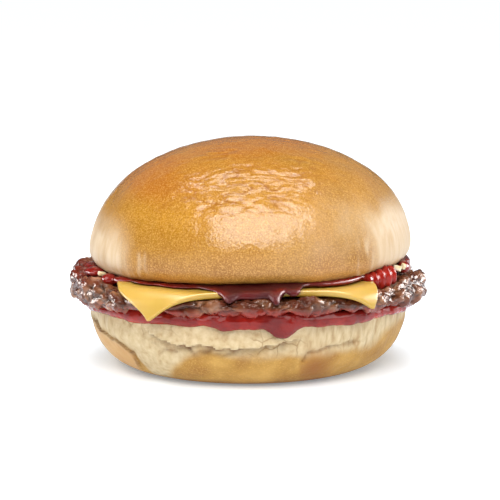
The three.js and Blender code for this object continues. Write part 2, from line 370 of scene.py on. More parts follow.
left_tone = add_node(
    bread, "ShaderNodeValToRGB", {"Fac": blotch.outputs["Fac"]},
    stops=[(0.35, "#c29359"), (0.65, "#d4ae7a")],
)
crumb_tone = add_node(
    bread, "ShaderNodeValToRGB", {"Fac": pores.outputs[0]},
    stops=[(0.3, "#b09166"), (0.66, "#d3be97"), (0.46, "#c5ad84")],
)
crust_both = add_node(
    bread, "ShaderNodeMix",
    {"Factor": left_value, 6: speckled.outputs[2], 7: left_tone.outputs[0]}, data_type="RGBA",
)
bread_tone = add_node(
    bread, "ShaderNodeMix",
    {"Factor": crumb_value, 6: crust_both.outputs[2], 7: crumb_tone.outputs[0]}, data_type="RGBA",
)
# hairline cracks between flakes of about 6 mm, where the crumb tore into flakes, with painted shade in them
bent_spot = add_node(
    bread, "ShaderNodeMix", {"Factor": 0.007, 4: spot, 5: blotch.outputs["Color"]},
    data_type="VECTOR", clamp_factor=False,
)
flakes = add_node(
    bread, "ShaderNodeTexVoronoi", {"Vector": bent_spot.outputs[1], "Scale": lumps(5.882)},
    feature="DISTANCE_TO_EDGE",
)
hairline = add_node(
    bread, "ShaderNodeMapRange",
    {"Value": flakes.outputs["Distance"], 1: 0.0, 2: 0.045, 3: 1.0, 4: 0.0},
)
flaky = add_node(
    bread, "ShaderNodeMapRange", {"Value": streak_value, 1: 0.25, 2: 0.95, 3: 0.65, 4: 0.0}
)
broken = add_node(
    bread, "ShaderNodeMapRange",
    {"Value": broad.outputs["Fac"], 1: 0.48, 2: 0.62, 3: 0.0, 4: flaky.outputs[0]},
)
cracked = add_node(
    bread, "ShaderNodeMath", {0: hairline.outputs[0], 1: broken.outputs[0]}, operation="MULTIPLY"
)
# the cracks on the crumb, sunk in the relief and darkened as painted shade
on_crumb = add_node(
    bread, "ShaderNodeMath", {0: cracked.outputs[0], 1: crumb_value}, operation="MULTIPLY"
)
# over the bread in turn: browned patches, painted shade in the creases and in the hairline cracks
bread_colour = bread_tone.outputs[2]
for cover, colour in (
    (brown_value, "#976128"), (crease_shade_value, "#6e4522"), (on_crumb.outputs[0], "#8f6a3c"),
):
    bread_colour = add_node(
        bread, "ShaderNodeMix", {"Factor": cover, 6: bread_colour, 7: linear(colour)}, data_type="RGBA"
    ).outputs[2]
grainy = add_node(
    bread, "ShaderNodeMath", {0: pores.outputs[0], 1: fine.outputs["Fac"]}, operation="ADD"
)
relief = add_node(
    bread, "ShaderNodeMath", {0: grainy.outputs[0], 1: on_crumb.outputs[0]}, operation="SUBTRACT"
)
bread_bump = add_node(
    bread, "ShaderNodeBump", {"Height": relief.outputs[0], "Strength": 0.5, "Distance": 0.0005}
)
bread_skin = add_node(
    bread, "ShaderNodeBsdfPrincipled",
    {"Base Color": bread_colour, "Roughness": 0.6, "Normal": bread_bump.outputs[0],
     "Specular IOR Level": 0.3},
)
add_node(bread, "ShaderNodeOutputMaterial", {"Surface": bread_skin.outputs[0]})
use_material(heel, bread)
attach(heel, "root")
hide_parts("heel")


# ---- Lower ketchup ----
# A layer of tomato ketchup spread on the heel. The patty presses it out over the edge, where it
# stands as a rounded glossy bead, with one heavy drip and one light one at the front.

# the gap left under the sauce, and its depth
SAUCE_FLOOR = 0.1
LOWER_DEPTH = 2.9
# across the front in millimetres, how far the sauce hangs below the edge, and half its width
LOWER_HANGS = [(10.6, 3.3, 4.4), (-5.6, 1.7, 3.6), (1.0, 1.1, 3.6), (-17, 0.3, 5), (21, 0.5, 4),
               (-31, 0.5, 6), (33, 0.4, 6)]
# the rings of the layer as (radius, height), from the middle of its underside round its edge to
# its top, which is drawn 3 mm up
LOWER_TOP = 3
LOWER_RINGS = [
    (3, 0), (30, 0), (44, 0), (48, 0), (49.6, 0), (50.2, -0.6), (50.6, -1), (51.3, -0.9),
    (52.1, -0.2), (52.4, 0.8), (52.2, 1.9), (51.6, 2.8),
    (50, LOWER_TOP), (44, LOWER_TOP), (30, LOWER_TOP), (3, LOWER_TOP),
]


def smoothed(outline, steps):
    """The same outline with more points, on a smooth curve through the given ones."""
    points = [outline[0]] + list(outline) + [outline[-1]]
    curve = []
    for before, start, end, after in zip(points, points[1:], points[2:], points[3:]):
        for t in np.arange(steps) / steps:
            curve.append(tuple(
                0.5 * (2 * b + (c - a) * t + (2 * a - 5 * b + 4 * c - d) * t**2
                       + (3 * b - a - 3 * c + d) * t**3)
                for a, b, c, d in zip(before, start, end, after)
            ))
    return curve + [outline[-1]]


lower_sauce = stacked_rings("ketchup_on_heel", smoothed(LOWER_RINGS, 3), around=540)
places = points_of(lower_sauce)
x, y, z = places.T
angle, radius = polar(places)
around_back = ripple(angle, [(4, 0.5, 1.0), (7, 0.45, 2.6), (11, 0.35, 0.2)])
lip = smooth_step(radius, 48.5, 50.5)
hang = np.zeros(len(places))
for hang_x, depth, width in LOWER_HANGS:
    beside = np.abs(x + STACK_X - hang_x) / width
    hang += depth * np.exp(-(beside**2.6)) * smooth_step(-y, 0, 20)
hang += -0.35 + 0.4 * ripple(angle, [(5, 0.6, 0.2), (13, 0.4, 1.1)])
under = 1 - smooth_step(z, -1.2, 1.6)
z -= lip * under * hang
# the front bead is thicker, where the cheese and the patty press down most
pressed = bump((x - 3) / 17, 1) * smooth_step(-y, 20, 40)
bulge = lip * (0.45 * around_back + 0.12 * hang + 1.5 * pressed - 0.3)
set_radius(places, radius + bulge, STACK_X, STACK_Y)
depth = LOWER_DEPTH + 0.9 * pressed * lip
rise = np.where(z > 0, z * depth / LOWER_TOP, z)
places[:, 2] = heel_top(x) + SAUCE_FLOOR + rise
place_points(lower_sauce, places)
edge = smooth_step(np.hypot(x, y), 48, 50.5)
uneven = edge * (0.26 * grain(places, 2.0, 1.0) + 0.3 * grain(places, 5, 2.0))
places += normals_of(lower_sauce) * uneven[:, None]
place_points(lower_sauce, places)

# Tomato ketchup: a thick wet paste, deep red and satin where it is thick, brighter and glossier
# where it thins, with a slightly grainy skin, and darkened as painted shade under the crown. Real
# pulp is under 0.3 mm, too fine to show, so its grain is drawn at 0.7 mm.
ketchup = new_material("tomato_ketchup")
spot = add_node(ketchup, "ShaderNodeTexCoord").outputs["Object"]
pulp = add_node(ketchup, "ShaderNodeTexNoise", {"Vector": spot, "Scale": lumps(3.846), "Detail": 5})
pulp_fine = add_node(
    ketchup, "ShaderNodeTexNoise", {"Vector": spot, "Scale": lumps(0.6667), "Detail": 2}
)
ketchup_tone = add_node(
    ketchup, "ShaderNodeValToRGB", {"Fac": pulp.outputs["Fac"]},
    stops=[(0.35, "#80170f"), (0.68, "#a6291d"), (0.5, "#931e15")],
)
thickness_and_shade_value = add_node(ketchup, "ShaderNodeAttribute", attribute_name="thickness_and_shade").outputs["Fac"]
# darker with thickness, and with painted shade where the sauce lies under the crown
deepened = add_node(
    ketchup, "ShaderNodeMix",
    {"Factor": thickness_and_shade_value, 6: ketchup_tone.outputs[0], 7: linear("#400b0c")}, data_type="RGBA",
)
ketchup_bump = add_node(
    ketchup, "ShaderNodeBump",
    {"Height": pulp_fine.outputs["Fac"], "Strength": 0.2, "Distance": 0.0003},
)
ketchup_satin = add_node(
    ketchup, "ShaderNodeMapRange", {"Value": thickness_and_shade_value, 1: 0.3, 2: 1.0, 3: 0.1, 4: 0.42}
)
ketchup_skin = add_node(
    ketchup, "ShaderNodeBsdfPrincipled",
    {"Base Color": deepened.outputs[2], "Roughness": ketchup_satin.outputs[0], "IOR": 1.37,
     "Normal": ketchup_bump.outputs[0]},
)
add_node(ketchup, "ShaderNodeOutputMaterial", {"Surface": ketchup_skin.outputs[0]})
thickness_and_shade = 0.16 + 0.4 * grain(places, 9, 3.0) + 0.2 * bump((x - 10) / 8, 1)
keep_values(lower_sauce, "thickness_and_shade", np.clip(thickness_and_shade, 0, 0.6))
use_material(lower_sauce, ketchup)
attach(lower_sauce, "root")
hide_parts("ketchup_lower")


# ---- Patty ----
# Minced beef pressed to a thin disc and grilled. The mince shows at the ragged edge as lumps of
# 2 to 5 mm with gaps between them, painted dark as shade, browned outside and wet with fat.

PATTY_RADIUS = 55.9
PATTY_ROUNDING = 3.2
# the radius that its edge has as it is drawn
PATTY_DRAWN = 56
PATTY_X = STACK_X - 0.9
PATTY_TOP = 29.4
PATTY_BACK_RISE = 0.9
PATTY_SIDE_RISE = 0.4
# The slice of cheese on top, which flattens the mince under it: its side, turn and middle, and
# how far its left edge was pulled outwards
SLICE_SIDE = 72
SLICE_TURN = math.radians(6)
SLICE_X = -0.5
SLICE_Y = -14.2
SLICE_PULL = 5


def patty_top(x, y):
    """Height of the patty's top: pressed down at the front under the two corners of cheese."""
    turned = np.degrees(np.arctan2(y - STACK_Y, x - STACK_X)) % 360
    corners = bump(turned - 234, 24) + 0.6 * bump(turned - 305, 20)
    outer = smooth_step(np.hypot(x - STACK_X, y - STACK_Y), 28, 42)
    back_rise = PATTY_BACK_RISE * (y - STACK_Y + 56) / 112
    side_rise = PATTY_SIDE_RISE * ((x - STACK_X) / 56) ** 2
    return PATTY_TOP + back_rise + side_rise - 0.7 * corners * outer


# drawn as a plain round disc, 1 mm thick, so that each height is a share of the real thickness
patty_outline = [(3, 0), (30, 0), (40, 0)] + [(r, 0) for r in np.arange(42, 52.1, 0.7)]
patty_outline += [
    (PATTY_DRAWN - PATTY_ROUNDING * (1 - math.sin(t)), 0.5 - 0.5 * math.cos(t))
    for t in np.linspace(0.12, math.pi - 0.12, 26)
]
patty_outline += [(r, 1) for r in np.arange(52, 41.9, -0.7)] + [(40, 1), (30, 1), (3, 1)]
patty = stacked_rings("grilled_patty", patty_outline, around=640)
places = points_of(patty)
x, y, z = places.T
angle, radius = polar(places)
share = z.copy()
reach = (PATTY_RADIUS + 0.5 * ripple(angle, [(5, 0.5, 0.7), (9, 0.5, 1.9), (14, 0.4, 0.3)])) / PATTY_DRAWN
set_radius(places, radius * reach, PATTY_X, STACK_Y)
low = heel_top(x) + LOWER_DEPTH
high = patty_top(x, y)
places[:, 2] = low + (high - low) * share
place_points(patty, places)


def mince(places, size, seed):
    """Rounded lumps of a size in millimetres: 1 at the middle of a lump, 0 in the gaps."""
    heights = []
    for place in places / size + seed:
        near, far = noise.voronoi(Vector(place))[0][:2]
        heights.append(min(1.0, (far - near) * 1.6))
    return np.array(heights)


places = points_of(patty)
x, y, z = places.T
radius = np.hypot(x - PATTY_X, y - STACK_Y)
rim = smooth_step(radius, 44, 51)
shown = radius > 42
flattened = places * np.array((1, 1, 1.25))
bent = flattened + 1.1 * np.stack([grain(flattened, 3.2, s) for s in (1.0, 2.0, 3.0)], axis=1)
# folds of mince: high in the middle of each and pinched where two meet
folds = np.minimum(1, 2.6 * np.abs(grain(bent, 6.5, 4.0)))
shreds = np.minimum(1, 2.6 * np.abs(grain(bent, 2.7, 5.0)))
crumbs = np.minimum(1, 2.4 * np.abs(grain(bent, 1.25, 6.0)))
clumps = np.full(len(places), 0.7)
clumps[shown] = np.sqrt(mince(bent[shown], 3.4, 7.3))
coarse = grain(places, 8, 8.0)
turned = np.degrees(np.arctan2(y, x)) % 360
# the mince is packed flatter along the front between the two corners of cheese
packed = bump(turned - 280, 32)
# how far each point stands out, from the biggest folds down to the crumbs
out = rim * (
    (1.5 - 0.8 * packed) * (folds - 0.5) + 0.6 * (shreds - 0.5) + 0.34 * (crumbs - 0.5)
    + 0.4 * (clumps - 0.7) + 1.5 * coarse - 0.25
)
# a hollow at the right, with the lower edge swelling out in front of it
right = (turned + 180) % 360 - 180
out -= rim * 1.8 * bump(right - 6, 14)
out += rim * 1.8 * bump(right + 10, 13) * (1 - smooth_step(share, 0.35, 0.75))
# the mince lies flat where the slice of cheese presses on it
laid_radius = radius + np.maximum(0, patty_top(x, y) - z)
laid_x = laid_radius * np.cos(np.radians(turned)) - SLICE_X
laid_y = laid_radius * np.sin(np.radians(turned)) - SLICE_Y
slice_x = laid_x * math.cos(SLICE_TURN) + laid_y * math.sin(SLICE_TURN)
slice_y = laid_y * math.cos(SLICE_TURN) - laid_x * math.sin(SLICE_TURN)
inside = np.minimum(SLICE_SIDE / 2 - slice_y, SLICE_SIDE / 2 + slice_y)
inside = np.minimum(inside, np.minimum(SLICE_SIDE / 2 - slice_x, SLICE_SIDE / 2 + SLICE_PULL + slice_x))
covered = smooth_step(inside, -1.4, 0.2)
out = out * (1 - covered) - 0.6 * covered
places += normals_of(patty) * out[:, None]
# the left edge curled up on the grill
z += 1.7 * rim * bump(turned - 184, 15) * smooth_step(share, 0.2, 0.8)
place_points(patty, places)
height_share = 0.3 * folds + 0.34 * shreds + 0.14 * crumbs + 0.26 * clumps
# painted shade: near-black in the gaps between lumps, a little less where the mince is packed flat
keep_values(patty, "gap_shade", (0.9 - 0.35 * packed) * (1 - smooth_step(height_share, 0.24, 0.66)))
# ketchup smeared up on to the lower edge, most at the front middle, and at the left on to the top
middle = bump((x - 3) / 15, 1) * smooth_step(-y, 20, 40)
smear = (1 - smooth_step(share, 0.08, 0.4 + 0.24 * middle)) * smooth_step(-y, 10, 45)
smear = smear * (0.75 + 0.5 * middle + 1.2 * grain(places, 4, 12.0))
smear += 0.4 * bump(turned - 192, 18) * smooth_step(share, 0.5, 0.9) * (0.7 + grain(places, 5, 13.0))
keep_values(patty, "stain", np.clip(smear, 0, 0.7 + 0.2 * middle))
seared = 0.4 + 1.2 * grain(places, 5, 9.0) + 0.2 * packed + 0.4 * bump(turned - 188, 20) * share
seared += 0.5 * bump(turned - 300, 14) + 0.4 * bump(turned - 247, 12)
keep_values(patty, "sear", np.clip(seared, 0, 1))

# Grilled minced beef: grey-brown meat, almost black on the charred tips and, as painted shade, in
# the gaps, wet with fat that gives hard white highlights. Muscle fibres of 0.1 mm are too fine to
# show, so they are drawn at 0.9 mm.
beef = new_material("grilled_minced_beef")
spot = add_node(beef, "ShaderNodeTexCoord").outputs["Object"]
gap_shade_value, stain_value, sear_value = (
    add_node(beef, "ShaderNodeAttribute", attribute_name=attribute).outputs["Fac"]
    for attribute in ("gap_shade", "stain", "sear")
)
mottle = add_node(beef, "ShaderNodeTexNoise", {"Vector": spot, "Scale": lumps(4.348), "Detail": 5})
fibre = add_node(beef, "ShaderNodeTexNoise", {"Vector": spot, "Scale": lumps(0.9091), "Detail": 4})
meat_tone = add_node(
    beef, "ShaderNodeValToRGB", {"Fac": mottle.outputs["Fac"]},
    stops=[(0.3, "#42210f"), (0.72, "#c0957a"), (0.46, "#734429"), (0.58, "#986a4b")],
)
# over the meat in turn: the seared brown, the ketchup stain and near-black painted shade in the gaps
beef_colour = meat_tone.outputs[0]
for cover, colour in ((sear_value, "#542617"), (stain_value, "#8a2018"), (gap_shade_value, "#1c0a05")):
    beef_colour = add_node(
        beef, "ShaderNodeMix", {"Factor": cover, 6: beef_colour, 7: linear(colour)}, data_type="RGBA"
    ).outputs[2]
beef_bump = add_node(
    beef, "ShaderNodeBump", {"Height": fibre.outputs["Fac"], "Strength": 0.3, "Distance": 0.0004}
)
beef_skin = add_node(
    beef, "ShaderNodeBsdfPrincipled",
    {"Base Color": beef_colour, "Roughness": 0.23, "IOR": 1.5,
     "Specular Tint": (1, 0.86, 0.78, 1), "Normal": beef_bump.outputs[0]},
)
add_node(beef, "ShaderNodeOutputMaterial", {"Surface": beef_skin.outputs[0]})
use_material(patty, beef)
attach(patty, "root")
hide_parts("patty")


# ---- Cheese ----
# One square slice of processed cheese laid on the hot patty, towards its front. It melted enough
# to follow the patty, and its two front corners droop over the edge.

SLICE_THICKNESS = 1.9
# the height of the slice's middle over the patty
SLICE_LIFT = 0.9
# where the slice starts to bend down, measured from the burger's axis, how tightly and how far
BEND_START = 52.3
BEND_RADIUS = 4.6
BEND_MOST = math.radians(80)

bpy.ops.mesh.primitive_grid_add(x_subdivisions=96, y_subdivisions=96, size=SLICE_SIDE * MM)
cheese = bpy.context.object
cheese.name = "melted_cheese_slice"
flat = points_of(cheese)
# the left edge was pulled outwards behind its corner as it melted
behind_corner = smooth_step(flat[:, 1], -SLICE_SIDE / 2, -SLICE_SIDE / 2 + 17)
pulled = behind_corner * (1 - 0.6 * smooth_step(flat[:, 1], -12, 20))
flat[:, 0] -= SLICE_PULL * pulled * smooth_step(-flat[:, 0], 8, SLICE_SIDE / 2)
turned_x = flat[:, 0] * math.cos(SLICE_TURN) - flat[:, 1] * math.sin(SLICE_TURN) + SLICE_X
turned_y = flat[:, 0] * math.sin(SLICE_TURN) + flat[:, 1] * math.cos(SLICE_TURN) + SLICE_Y
reach = np.maximum(np.hypot(turned_x, turned_y), 1e-6)
over = np.maximum(0, reach - BEND_START)
bend = np.minimum(over / BEND_RADIUS, BEND_MOST)
hang = np.maximum(0, over - BEND_RADIUS * BEND_MOST)
out = np.minimum(reach, BEND_START) + BEND_RADIUS * np.sin(bend) + hang * math.cos(BEND_MOST)
fall = BEND_RADIUS * (1 - np.cos(bend)) + hang * math.sin(BEND_MOST)
lying = patty_top(turned_x + STACK_X, turned_y + STACK_Y) + SLICE_LIFT
draped = np.stack(
    [turned_x * out / reach + STACK_X, turned_y * out / reach + STACK_Y, lying - fall], axis=1
)
draped[:, 2] += 0.18 * grain(draped, 9, 6.0)
place_points(cheese, draped)
finish_with(cheese, "SOLIDIFY", thickness=SLICE_THICKNESS * MM, offset=0)
finish_with(cheese, "BEVEL", width=0.45 * MM, segments=2, limit_method="ANGLE", angle_limit=math.radians(50))
finish_with(cheese, "SUBSURF", levels=1, render_levels=1)

# Processed cheese: smooth and waxy, warm yellow, a little see-through at its edges.
cheddar = new_material("processed_cheese")
spot = add_node(cheddar, "ShaderNodeTexCoord").outputs["Object"]
cloud = add_node(cheddar, "ShaderNodeTexNoise", {"Vector": spot, "Scale": lumps(14.29), "Detail": 3})
cheese_tone = add_node(
    cheddar, "ShaderNodeValToRGB", {"Fac": cloud.outputs["Fac"]},
    stops=[(0.35, "#b89337"), (0.65, "#c59f48")],
)
cheese_bump = add_node(
    cheddar, "ShaderNodeBump", {"Height": cloud.outputs["Fac"], "Strength": 0.15, "Distance": 0.001}
)
cheese_skin = add_node(
    cheddar, "ShaderNodeBsdfPrincipled",
    {"Base Color": cheese_tone.outputs[0], "Roughness": 0.3, "Normal": cheese_bump.outputs[0],
     "Subsurface Weight": 0.3, "Subsurface Radius": (0.003, 0.0018, 0.0005),
     "Subsurface Scale": 0.6},
)
add_node(cheddar, "ShaderNodeOutputMaterial", {"Surface": cheese_skin.outputs[0]})
use_material(cheese, cheddar)
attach(cheese, "root")
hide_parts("cheese")


# ---- Upper ketchup ----
# More ketchup on the cheese and the bare patty round it, pressed out by the crown. Two long
# tongues run down the front edge of the patty, and it stands in blobs at the left and the right.

# across the front in millimetres, how far past the edge the sauce runs, and half its width
TONGUES = [(-4.0, 8.5, 2.6), (7.8, 9.1, 2.3), (1.6, 6.7, 13), (13, 6.2, 3),
           (-31, 3.0, 6), (-20, 2.4, 6.5), (27, 2.6, 8)]
# the rings of the layer as (radius, share of its depth), and where it is drawn before it is laid
UPPER_RINGS = [(3, 0), (30, 0), (40, 0), (44, 0), (46, 0.05), (47, 0.2), (47.5, 0.5), (47.3, 0.9),
               (46.5, 1), (44, 1), (40, 1), (30, 1), (3, 1)]
UPPER_LOW = 30
UPPER_DEPTH = 4
# the height of the sauce's top under the crown, as (radius, height), and how it rises to the right
CEILING = [(0, 35.4), (38, 35.4), (43, 33.2), (46, 32.6), (50, 32.2), (52, 31.6), (56, 31.3)]
CEILING_SLOPE = 0.0244
SAUCE_VOXEL = 0.47

upper_start = [(r, z * UPPER_DEPTH + UPPER_LOW) for r, z in UPPER_RINGS]
upper_sauce = stacked_rings("ketchup_under_crown", upper_start, around=240)
places = points_of(upper_sauce)
x, y, z = places.T
angle, radius = polar(places)
share = (z - UPPER_LOW) / UPPER_DEPTH
front = smooth_step(-y, 20, 40)
edge_run = 0.5 * ripple(angle, [(4, 0.6, 0.3), (9, 0.5, 1.1)])
edge_run += (1 - front) * (2.2 + ripple(angle, [(3, 0.7, 0.8), (8, 0.8, 0.4), (13, 0.5, 2.0)]))
for tongue_x, run, width in TONGUES:
    beside = np.abs(x + STACK_X - tongue_x) / width
    edge_run = np.maximum(edge_run, run * np.exp(-(beside**3)) * front)
set_radius(places, radius + edge_run * smooth_step(radius, 40, 47), STACK_X, STACK_Y)
flat_radius = np.hypot(x - STACK_X, y - STACK_Y)
# past the patty's edge the sauce runs down over it
shoulder = np.clip((flat_radius - 51.5) / 5, 0, 1)
fall = 3.6 * (1 - np.sqrt(1 - shoulder**2 * 0.92))
slice_edge = SLICE_Y + STACK_Y - SLICE_SIDE / 2
on_cheese = smooth_step(y, slice_edge - 1.5, slice_edge + 0.5)
on_cheese *= 1 - smooth_step(np.abs(x - STACK_X), 36, 40)
floor = patty_top(x, y) - 0.2 + 2.2 * on_cheese
ceiling = np.interp(flat_radius, *zip(*CEILING)) + CEILING_SLOPE * (x - STACK_X)
places[:, 2] = floor + np.maximum(ceiling - floor, 0.7) * share - fall
place_points(upper_sauce, places)

# centre, half sizes and turn in degrees of the blobs that stand out at the left and right
BLOBS = [
    ((-41.6, -25.4, 30.6), (2.8, 2.6, 1.9), -32), ((-37.5, -29.5, 31.0), (3.4, 1.8, 1.2), -36),
    ((-46.6, -14.5, 31.3), (3.4, 4.6, 1.6), 14), ((-48.4, -5, 31.3), (2.6, 5.4, 1.4), 5),
    ((36.6, -31.2, 31.5), (1.2, 2.6, 2.0), 30), ((38.5, -30.2, 31.2), (1.3, 2.8, 2.8), 32),
    ((40.4, -28.6, 31.2), (1.35, 3.0, 3.5), 34), ((42.3, -26.8, 31.5), (1.35, 3.0, 3.8), 36),
    ((43.9, -24.8, 31.7), (1.2, 3.0, 3.3), 40), ((48.8, -13.4, 32.6), (2.2, 3.8, 2.0), 0),
]
for centre, half_sizes, turn in BLOBS:
    bpy.ops.mesh.primitive_uv_sphere_add(
        segments=40, ring_count=24, radius=MM,
        location=[c * MM for c in centre], rotation=(0, 0, math.radians(turn)), scale=half_sizes,
    )
    bpy.ops.object.transform_apply(location=True, rotation=True, scale=True)
    upper_sauce.select_set(True)
    bpy.context.view_layer.objects.active = upper_sauce
    bpy.ops.object.join()
finish_with(upper_sauce, "REMESH", mode="VOXEL", voxel_size=SAUCE_VOXEL * MM)
finish_with(upper_sauce, "SMOOTH", factor=0.5, iterations=2)
places = points_of(upper_sauce)
x, y, z = places.T
places += normals_of(upper_sauce) * (0.15 * grain(places, 2.4, 4.0))[:, None]
place_points(upper_sauce, places)
# thickest, and darkened as painted shade, under the crown and at the front middle; thinnest in the
# blobs at the right
under_crown = 1 - smooth_step(np.hypot(x - STACK_X, y - STACK_Y), 47.5, 53)
front_shade = bump((x - 3) / 20, 1) * smooth_step(-y, 38, 44)
thickness_and_shade = 0.18 + 0.35 * under_crown + 0.85 * front_shade + 0.35 * grain(places, 5, 6.0)
thickness_and_shade -= 0.25 * bump((x - 40) / 6, 1)
keep_values(upper_sauce, "thickness_and_shade", np.clip(thickness_and_shade, 0, 1))
use_material(upper_sauce, ketchup)
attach(upper_sauce, "root")
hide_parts("ketchup_upper")


# ---- Diced onion ----
# Bits of raw white onion, diced to 2 or 3 mm, that came with the ketchup. Two show where it is
# pressed out at the left and two at the right; the last two lie under the crown at the back.

# middle, sizes and turn in degrees of each bit
ONION_BITS = [
    ((-44.2, -20.6, 31.6), (2.6, 1.7, 1.2), 25), ((-43.0, -23.4, 31.1), (2.0, 1.3, 1.0), 70),
    ((46.6, -19.6, 33.2), (2.4, 1.6, 1.7), -20), ((48.6, -16.8, 33.3), (1.2, 1.6, 1.8), 30),
    ((-30.6, 35.4, 32.2), (2.4, 1.8, 1.3), 15), ((22.5, 41, 33), (2.6, 1.7, 1.4), 60),
]
onion_pieces = []
for centre, sizes, turn in ONION_BITS:
    bpy.ops.mesh.primitive_cube_add(
        size=MM, location=[c * MM for c in centre],
        rotation=(math.radians(turn / 2), math.radians(12), math.radians(turn)), scale=sizes,
    )
    bpy.ops.object.transform_apply(location=True, rotation=True, scale=True)
    bit = bpy.context.object
    finish_with(bit, "BEVEL", width=0.3 * MM, segments=2)
    finish_with(bit, "SUBSURF", levels=1, render_levels=1)
    onion_pieces.append(bit)
bpy.ops.object.select_all(action="DESELECT")
for bit in onion_pieces:
    bit.select_set(True)
onion = onion_pieces[0]
bpy.context.view_layer.objects.active = onion
bpy.ops.object.join()
onion.name = "diced_onion"

# Raw onion: wet, white to cream, and lets some light through.
onion_flesh = new_material("diced_white_onion")
spot = add_node(onion_flesh, "ShaderNodeTexCoord").outputs["Object"]
veins = add_node(
    onion_flesh, "ShaderNodeTexNoise", {"Vector": spot, "Scale": lumps(1.667), "Detail": 2}
)
onion_tone = add_node(
    onion_flesh, "ShaderNodeValToRGB", {"Fac": veins.outputs["Fac"]},
    stops=[(0.35, "#e3c98c"), (0.65, "#f5ead0")],
)
onion_skin = add_node(
    onion_flesh, "ShaderNodeBsdfPrincipled",
    {"Base Color": onion_tone.outputs[0], "Roughness": 0.2, "Subsurface Weight": 0.3,
     "Subsurface Radius": (0.002, 0.0015, 0.001), "Subsurface Scale": 0.5},
)
add_node(onion_flesh, "ShaderNodeOutputMaterial", {"Surface": onion_skin.outputs[0]})
use_material(onion, onion_flesh)
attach(onion, "root")


# ---- Crown ----
# The upper half of the bun: the same bread, domed and glazed before baking. The top baked to an
# even gold with fine wrinkles; the flanks stayed paler where it met its neighbours in the oven,
# with fine stretch marks that run down to the rim, and at the right the pale is partly a painted
# highlight. It lies a little rolled, higher at the right.

# radius and height of the rim, height of the widest part over it, and of the whole dome
CROWN_RIM = 46
CROWN_RIM_Z = 32.3
CROWN_BELLY = 5.3
CROWN_HEIGHT = 39.2
# how deep the underside is hollowed for the ketchup, and the turn from the widest part to the rim
CROWN_RECESS = 3.4
CROWN_TUCK = math.radians(22)
CROWN_ROLL = math.radians(1.4)
CROWN_X = STACK_X + 0.5

bpy.ops.mesh.primitive_cube_add(size=2)
crown = bpy.context.object
crown.name = "glazed_crown"
bpy.ops.object.mode_set(mode="EDIT")
bpy.ops.mesh.select_all(action="SELECT")
bpy.ops.mesh.subdivide(number_cuts=116)
bpy.ops.object.mode_set(mode="OBJECT")
cube = points_of(crown) * MM
# spread the cube's points evenly over a ball: each share of a side becomes a share of a turn
spread = np.tan(cube * math.pi / 4)
ball = spread / np.linalg.norm(spread, axis=1)[:, None]
turn = np.arccos(np.clip(ball[:, 2], -1, 1))
flat = np.maximum(np.hypot(ball[:, 0], ball[:, 1]), 1e-9)
dome = turn <= math.pi / 2
dome_radius = HEEL_RADIUS * np.sin(turn) ** (2 / 2.01)
dome_height = CROWN_BELLY + (CROWN_HEIGHT - CROWN_BELLY) * np.abs(np.cos(turn)) ** (2 / 2.13)
below = np.clip((turn - math.pi / 2) / CROWN_TUCK, 0, 1) * math.pi / 2
belly_radius = CROWN_RIM + (HEEL_RADIUS - CROWN_RIM) * np.abs(np.cos(below))
belly_height = CROWN_BELLY * (1 - np.sin(below))
inside = np.clip((turn - math.pi / 2 - CROWN_TUCK) / (math.pi / 2 - CROWN_TUCK), 0, 1)
under_radius = CROWN_RIM * (1 - inside)
under_height = CROWN_RECESS * smooth_step(CROWN_RIM - under_radius, 0.5, 5)
profile_radius = np.where(dome, dome_radius, np.where(inside > 0, under_radius, belly_radius))
profile_height = np.where(dome, dome_height, np.where(inside > 0, under_height, belly_height))
places = np.stack(
    [ball[:, 0] / flat * profile_radius, ball[:, 1] / flat * profile_radius, profile_height], axis=1
)
x, y, z = places.T
angle, radius = polar(places)
direction = np.degrees(angle) % 360
outer = smooth_step(radius, 20, CROWN_RIM)
low = 1 - smooth_step(z, 0, 12)
# the rim lifts a little left of the front and dips right of it
lift = 0.5 * bump(direction - 258, 22) - 0.6 * bump(direction - 302, 14)
lift += 0.25 * grain(places, 6, 9.0) * low
z += outer * low * lift
out = outer * ripple(angle, [(3, 0.25, 1.2), (7, 0.15, 0.5), (12, 0.1, 2)])
# the left flank sags outwards a little more than the rest
out += 1.0 * bump(direction - 188, 40) * bump((z - 5.5) / 6, 1)
out += 0.35 * bump((direction + 180) % 360 - 180, 45) * bump((z - 5.5) / 6, 1)
set_radius(places, radius + out)
place_points(crown, places)
relief = 0.3 * grain(places, 16, 1.0) + 0.12 * grain(places, 6, 2.0)
# fine wrinkles that lie round the top of the dome, broken up along their length
bent = places + 0.7 * np.stack([grain(places, 4, s) for s in (12.0, 13.0, 14.0)], axis=1)
along_x = np.minimum(1, 2.5 * np.abs(grain(bent, 2.6, 3.0, (0.36, 1.0, 1.3))))
cross_x = np.clip(0.5 + 1.3 * grain(bent, 1.9, 23.0, (0.8, 1.0, 1.0)), 0, 1)
upper = smooth_step(z, 20, 26)
front_top = bump(x / 24, 1) * bump((z - 27.5) / 7, 1) * (y < 0)
elsewhere = 0.35 * smooth_step(grain(places, 15, 4.0), 0.05, 0.4) * upper
elsewhere *= 1 - smooth_step(np.abs(x), 28, 36)
wrinkled = np.clip(front_top + elsewhere, 0, 1)
relief += wrinkled * (0.32 * (along_x - 0.5) + 0.22 * (cross_x - 0.5))
relief += 0.07 * grain(places, 2.6, 5.0) + 0.03 * grain(places, 1.2, 15.0)
# stretch marks down the flank
marks = grain(places, 1.5, 6.0, (1, 1, 0.12)) * smooth_step(grain(places, 10, 7.0), -0.2, 0.3)
relief += 0.03 * marks * (1 - smooth_step(z, 10, 18))
places += normals_of(crown) * relief[:, None]
roll_cos, roll_sin = math.cos(CROWN_ROLL), math.sin(CROWN_ROLL)
rolled_x = x * roll_cos - z * roll_sin
rolled_z = x * roll_sin + z * roll_cos
rolled = np.stack([rolled_x + CROWN_X, y + STACK_Y, rolled_z + CROWN_RIM_Z], axis=1)
place_points(crown, rolled)
